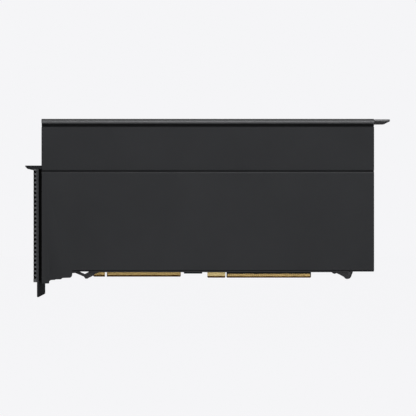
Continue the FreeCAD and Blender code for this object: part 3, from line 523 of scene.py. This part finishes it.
def paintSheets():
    p = paintLook
    front = cadBox[0].y
    beadBack, foldBack = (front + p[key] * mm for key in ("beadDeep", "foldDeep"))
    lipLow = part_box("front_cover")[1].z - p["lipHigh"] * mm
    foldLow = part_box("upper_cover")[1].z - p["foldHigh"] * mm
    # faces in the groove behind the bead and under the rail take the painted shade
    paintFaces(eased["topRail"], "railUnderShade",
               lambda n, c: c.y > beadBack and (n.y < -p["behind"] or n.z < -p["under"]))
    # the rail's top faces take the darker painted shade
    paintFaces(eased["topRail"], "railTopShade", lambda n, c: n.z > p["above"])
    # the bead's front faces below its middle take the painted highlight
    paintFaces(eased["topRail"], "beadHighlight",
               lambda n, c: (c.y < beadBack and n.y < -p["forward"]
                             and -p["under"] < n.z < p["beadRound"]))
    paintFaces(eased["frontCover"], "coverLip",
               lambda n, c: (c.z > lipLow and n.y < -p["forward"]
                             and p["lipFrom"] < n.z < p["lipTo"]))
    # the front cover's bottom fold, turned down, takes the painted shade
    paintFaces(eased["frontCover"], "foldShade",
               lambda n, c: n.y < -p["forward"] and -p["foldTo"] < n.z < -p["foldFrom"])
    # the underside of the bottom fold takes the darker painted shade
    paintFaces(eased["frontCover"], "foldUnderShade", lambda n, c: c.y < foldBack and n.z < -p["foldTo"])
    # the upper cover's top fold under the bead takes the painted shade
    paintFaces(eased["upperCover"], "foldShade",
               lambda n, c: c.z > foldLow and n.z > p["foldUp"] and n.y < -p["foldTurned"])
    # the covers' upright side edges take the painted shade
    for name in ("frontCover", "upperCover"):
        paintFaces(eased[name], "foldShade",
                   lambda n, c: abs(n.x) > p["aside"] and n.y < p["forward"])
    # the bracket plate's inner face takes the lighter painted light
    paintFaces(eased["slotBracket"], "bracketInnerLit", lambda n, c: n.x > p["aside"])
    print("sheets painted")


paintSheets()


def makeGrille():
    margin, skin, edge = (grilleLook[key] * mm for key in ("margin", "skinDeep", "edgeDeep"))
    inward = grilleLook["inward"]
    grille = addPiece("ventGrille", closeMesh("ventGrille", solidCopy("vent_grille")),
                      slotOf["vent_grille"], "vent_grille", "grille")

    def inHole(n, c):
        return (abs(n.x) < inward and grilleLow.z + margin < c.z < grilleHigh.z - margin
                and grilleLow.y + skin < c.y < grilleHigh.y - skin)

    # the walls of the grille's holes and its inner faces take the near-black painted shade
    paintFaces(grille, "shade", lambda n, c: n.x > inward or inHole(n, c))
    # the grille's front edge faces take the painted highlight
    paintFaces(grille, "grilleEdgeHighlight", lambda n, c: n.y < -inward and c.y < grilleLow.y + edge)
    print("grille ready")


makeGrille()

# near-black strip round the grille's front corner, which stands in for the shade inside the corner
# holes: painted shade. it fills the corner holes to just under the face
shadeScreenLook = {"under": 0.1, "thick": 1.3, "alongX": 2.7, "alongY": 4.6,
              "ends": 1.2, "corner": 0.6, "ease": 0.1}


def makeShadeScreen():
    s = {key: value * mm for key, value in shadeScreenLook.items()}
    left, front = grilleLow.x + s["under"], grilleLow.y + s["under"]
    right, back = left + s["alongX"], front + s["alongY"]
    innerLeft, innerFront, cut = left + s["thick"], front + s["thick"], s["corner"]
    outline = [(left + cut, front), (right, front), (right, innerFront),
               (innerLeft + cut, innerFront), (innerLeft, innerFront + cut),
               (innerLeft, back), (left, back), (left, front + cut)]
    work = bmesh.new()
    joinRings(work, [[work.verts.new((x, y, z)) for x, y in outline]
                     for z in (grilleLow.z + s["ends"], grilleHigh.z - s["ends"])])
    bevelEdges(work, list(work.edges), s["ease"])
    # the strip takes the near-black seal finish as painted shade
    addPiece("cornerShadeScreen", closeMesh("cornerShadeScreen", work), "seal", None)
    print("screen ready")


makeShadeScreen()

# filler strip in the groove under the bead, on the upper cover's folded edge, which makes the
# groove shallow; its near-black colour is painted shade of the groove. its front edges are rounded,
# and bend is how far the middle of the round stands in
stripLook = {"setback": 1.1, "depth": 3.8, "gap": 0.03, "high": 1.72,
             "ease": 0.3, "bend": 0.09, "ends": 0.06}


def makeStrip():
    s = {key: value * mm for key, value in stripLook.items()}
    coverLow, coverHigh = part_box("upper_cover")
    near = cadBox[0].y + s["setback"]
    far = near + s["depth"]
    low = coverHigh.z + s["gap"]
    high = low + s["high"]
    ease, bend = s["ease"], s["bend"]
    outline = [(near + ease, low), (far, low), (far, high), (near + ease, high),
               (near + bend, high - bend), (near, high - ease),
               (near, low + ease), (near + bend, low + bend)]
    work = bmesh.new()
    joinRings(work, [[work.verts.new((x, y, z)) for y, z in outline]
                     for x in (coverLow.x + s["ends"], coverHigh.x - s["ends"])])
    # the strip takes the near-black painted shade
    addPiece("grooveStrip", closeMesh("grooveStrip", work), "seal", None, "grooveShade")
    print("strip ready")


makeStrip()


def islands(node):
    # lowest and highest corner of each separate solid of a node, from left to right
    work = solidCopy(node)
    left = set(work.verts)
    found = []
    while left:
        group, front = set(), [left.pop()]
        while front:
            vert = front.pop()
            group.add(vert)
            for edge in vert.link_edges:
                other = edge.other_vert(vert)
                if other in left:
                    left.discard(other)
                    front.append(other)
        corners = [v.co for v in group]
        found.append((Vector(map(min, *corners)), Vector(map(max, *corners))))
    work.free()
    return sorted(found, key=lambda pair: tuple(round(c, 5) for c in pair[0]))


def turnedShape(work, start, way, side, rings, count):
    # rings are (radius, depth, corners) in mm, with 0 corners for round and 6 for a hexagon
    up = way.cross(side)
    made = []
    for radius, depth, corners in rings:
        ring = []
        for i in range(count):
            angle = 2 * math.pi * i / count
            reach = radius * mm
            if corners:
                part = 2 * math.pi / corners
                reach *= math.cos(part / 2) / math.cos((angle % part) - part / 2)
            spoke = side * (reach * math.cos(angle)) + up * (reach * math.sin(angle))
            ring.append(work.verts.new(start + way * (depth * mm) + spoke))
        made.append(ring)
    joinRings(work, made)


# screws: rings from the hexagon recess out over the head and down the shank, as (radius, depth,
# corners); pointShare is the tip's radius as a share of the shank's
screwLook = {"recess": [(0.95, 0.8, 6), (0.95, 0.06, 6), (1.064, 0, 0)],
             "flatHead": [(1.504, 0, 0), (1.6, 0.08, 0)],
             "roundHead": [(1.152, 0.05, 0), (1.504, 0.25, 0), (1.6, 0.5, 0), (1.6, 1.1, 0)],
             "shank": 1.25, "headHigh": 1.1, "pointLong": 0.5, "pointShare": 0.7, "steps": 24}
screwSets = {
    "boardScrews": {"node": "board_screws", "way": (0, -1, 0), "head": "flatHead"},
    "railScrews": {"node": "rail_screws", "way": (0, -1, 0), "head": "flatHead"},
    "coverScrews": {"node": "cover_screws", "way": (0, 0, 1), "head": "flatHead"},
    "bracketScrews": {"node": "bracket_screws", "way": (1, 0, 0), "head": "flatHead"},
    "guardScrews": {"node": "guard_screws", "way": (0, 1, 0), "head": "roundHead"},
}


def screwRings(length, head):
    s = screwLook
    return [*s["recess"], *s[head], (s["shank"], s["headHigh"], 0),
            (s["shank"], length - s["pointLong"], 0), (s["shank"] * s["pointShare"], length, 0)]


def makeScrews(name, look):
    way = Vector(look["way"])
    side = Vector((0, 0, 1)) if way.z == 0 else Vector((1, 0, 0))
    work = bmesh.new()
    for low, high in islands(look["node"]):
        length = abs((high - low).dot(way))
        start = (low + high) / 2 - way * (length / 2)
        rings = screwRings(length / mm, look["head"])
        turnedShape(work, start, way, side, rings, screwLook["steps"])
    mesh = closeMesh(name, work, meshLook["turned"])
    addPiece(name, mesh, slotOf[look["node"]], look["node"])


for name, look in screwSets.items():
    makeScrews(name, look)

# riveted pin of the rear foot: dished head and eased rim; the tail's depths are from its end
pinLook = {"node": "foot_pin", "steps": 28,
           "head": [(0.55, 0.22, 0), (0.95, 0.08, 0), (1.3, 0.0, 0), (1.58, 0.08, 0),
                    (1.7, 0.3, 0)],
           "tail": [(1.7, 0.25, 0), (1.5, 0.0, 0)]}


def makePin():
    low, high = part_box(pinLook["node"])
    middle = (low + high) / 2
    length = (high.y - low.y) / mm
    tail = [(radius, length - depth, corners) for radius, depth, corners in pinLook["tail"]]
    work = bmesh.new()
    turnedShape(work, Vector((middle.x, low.y, middle.z)), Vector((0, 1, 0)), Vector((0, 0, 1)),
                pinLook["head"] + tail, pinLook["steps"])
    addPiece("footPin", closeMesh("footPin", work, meshLook["turned"]),
             slotOf[pinLook["node"]], pinLook["node"])


makePin()
print("screws ready")

# folded fins: each a thin channel whose lips touch the next one; clear is the room at the seam rail
finLook = {"pitch": 2.42, "thick": 0.34, "lip": 2.28, "clear": 0.3}


def makeFins():
    low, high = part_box("fin_stack")
    railLow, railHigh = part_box("seam_rail")
    pitch, thick, lip, clear = (finLook[key] * mm for key in ("pitch", "thick", "lip", "clear"))
    work = bmesh.new()
    count = int((high.z - low.z) / pitch + 0.01) + 1   # 0.01 is for rounding
    for i in range(count):
        z = low.z + i * pitch
        top = min(z + lip, high.z)
        atRail = railLow.z - lip - clear < z < railHigh.z + clear
        tip = railHigh.y + clear if atRail else low.y
        section = [(high.y, z), (tip, z), (tip, top), (tip + thick, top), (tip + thick, z + thick),
                   (high.y - thick, z + thick), (high.y - thick, top), (high.y, top)]
        if top - z < thick * 2:
            section = [(high.y, z), (tip, z), (tip, top), (high.y, top)]
        joinRings(work, [[work.verts.new((x, y, up)) for y, up in section]
                         for x in (low.x, high.x)])
    addPiece("foldedFins", closeMesh("foldedFins", work, meshLook["thin"]),
             "heat_sink", "fin_stack")
    print("fins ready:", count)


makeFins()

# flattened pipes with rounded sides; their drawn tips go from a pinched end to the full section
pipeLook = {"steps": 20, "square": 3.2,
            "tip": [(0.0, 0.30), (0.6, 0.42), (1.6, 0.5), (3.0, 0.72), (4.6, 0.93), (6.5, 1.0)]}


def makePipes():
    work = bmesh.new()
    power = 2 / pipeLook["square"]
    turns = [2 * math.pi * i / pipeLook["steps"] for i in range(pipeLook["steps"])]
    outline = [tuple(math.copysign(abs(part) ** power, part)
                     for part in (math.cos(turn), math.sin(turn))) for turn in turns]
    for low, high in islands("heat_pipes"):
        middle, half = (low + high) / 2, (high - low) / 2
        stations = [(low.x + reach * mm, share) for reach, share in pipeLook["tip"]]
        stations += [(high.x - reach * mm, share) for reach, share in reversed(pipeLook["tip"])]
        joinRings(work, [[work.verts.new((x, middle.y + half.y * share * y,
                                          middle.z + half.z * share * z))
                          for y, z in outline] for x, share in stations])
    addPiece("drawnPipes", closeMesh("drawnPipes", work, meshLook["pipe"]),
             "copper", "heat_pipes")
    print("pipes ready")


makePipes()

# plated fingers: thin pads with cut corners, which end above the slanted edge of the board
fingerLook = {"corner": 0.18, "crown": 0.03, "splitGap": 0.3}
fingerSets = {
    "x16Fingers": {"node": "x16_contacts", "finish": "gold", "parts": 1, "rise": 0.36},
    "shortFingers": {"node": "aux_short_contacts", "finish": "paleGold", "parts": 1, "rise": 0.36},
    "longFingers": {"node": "aux_long_contacts", "finish": "gold", "parts": 2, "rise": 0.1},
}


def fingerPad(work, x0, x1, z0, z1, foot, face):
    # foot is the side on the board, face the outer side, which is a little smaller
    cut, crown = fingerLook["corner"] * mm, fingerLook["crown"] * mm
    rings = []
    for y, inset in ((foot, 0), (face, crown)):
        left, right, low, high = x0 + inset, x1 - inset, z0 + inset, z1 - inset
        outline = [(left + cut, low), (right - cut, low), (right, low + cut), (right, high - cut),
                   (right - cut, high), (left + cut, high), (left, high - cut), (left, low + cut)]
        rings.append([work.verts.new((x, y, z)) for x, z in outline])
    joinRings(work, rings)


def makeFingers(name, look):
    work = bmesh.new()
    boardLow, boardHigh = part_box("circuit_board")
    middle = (boardLow.y + boardHigh.y) / 2
    gap, rise = fingerLook["splitGap"] * mm, look["rise"] * mm
    count = 0
    for low, high in islands(look["node"]):
        onFront = (low.y + high.y) / 2 < middle
        foot, face = (high.y, low.y) if onFront else (low.y, high.y)
        width = (high.x - low.x - gap * (look["parts"] - 1)) / look["parts"]
        for part in range(look["parts"]):
            left = low.x + part * (width + gap)
            fingerPad(work, left, left + width, low.z + rise, high.z, foot, face)
            count += 1
    addPiece(name, closeMesh(name, work, meshLook["thin"]), slotOf[look["node"]], look["node"],
             look["finish"])
    print("fingers ready:", name, count)


for name, look in fingerSets.items():
    makeFingers(name, look)
